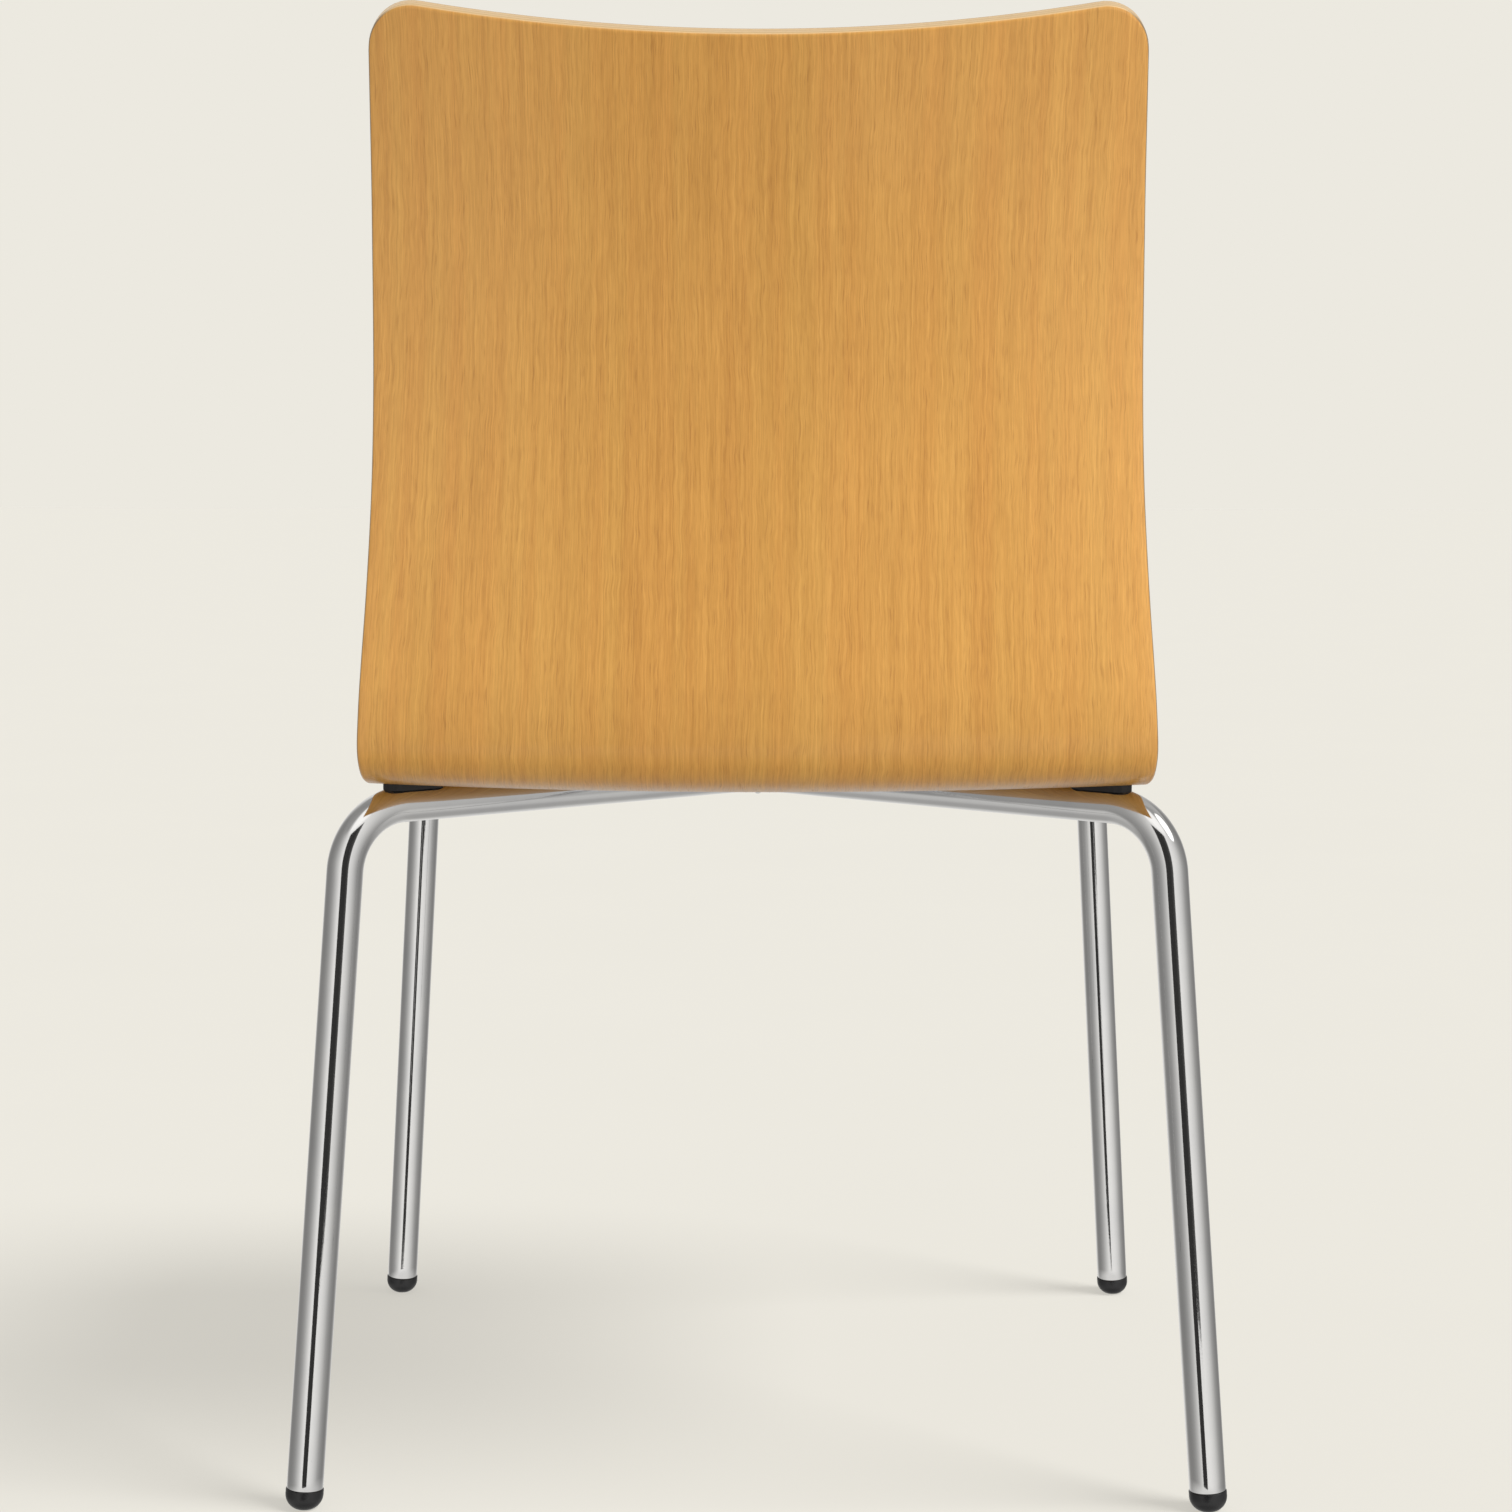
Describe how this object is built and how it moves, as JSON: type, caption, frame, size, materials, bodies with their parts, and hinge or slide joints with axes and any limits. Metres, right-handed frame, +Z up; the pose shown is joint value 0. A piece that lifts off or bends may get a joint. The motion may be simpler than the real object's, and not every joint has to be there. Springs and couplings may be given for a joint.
{
  "type": "stacking chair",
  "caption": "Stacking chair: a moulded plywood seat-and-back shell on a chromed round-tube frame whose inverted-U legs cross under the seat, with domed black foot glides.",
  "frame": {"origin": "bottom centre of the bounding box, on the floor", "axes": "+Z up, the chair faces -Y, +X to the sitter's left"},
  "size_m": [0.5172, 0.4566, 0.8076],
  "materials": {
    "plywood": "clear satin lacquer on light oak veneer, straight grain along the shell",
    "chrome": "polished chrome plate",
    "zinc_steel": "bright zinc plated steel",
    "black_plastic": "black moulded plastic, slightly glossy",
    "black_rubber": "black moulded rubber"
  },
  "bodies": {
    "root": {"plywood_shell": "plywood", "leg_tube_through": "chrome", "leg_tube_half_left": "chrome", "leg_tube_half_right": "chrome", "centre_plate": "zinc_steel", "glide_front_left": "black_plastic", "glide_front_right": "black_plastic", "glide_rear_left": "black_plastic", "glide_rear_right": "black_plastic", "insert_front_left": "zinc_steel", "insert_front_right": "zinc_steel", "insert_rear_left": "zinc_steel", "insert_rear_right": "zinc_steel", "pad_front_left": "black_rubber", "pad_front_right": "black_rubber", "pad_rear_left": "black_rubber", "pad_rear_right": "black_rubber", "screw_front_left": "zinc_steel", "screw_front_right": "zinc_steel", "screw_rear_left": "zinc_steel", "screw_rear_right": "zinc_steel", "spacer_front_left": "black_plastic", "spacer_front_right": "black_plastic", "spacer_rear_left": "black_plastic", "spacer_rear_right": "black_plastic", "washer_front_left": "zinc_steel", "washer_front_right": "zinc_steel", "washer_rear_left": "zinc_steel", "washer_rear_right": "zinc_steel", "weld_bead_front": "chrome", "weld_bead_left": "chrome", "weld_bead_rear": "chrome", "weld_bead_right": "chrome"}
  },
  "joints": []
}
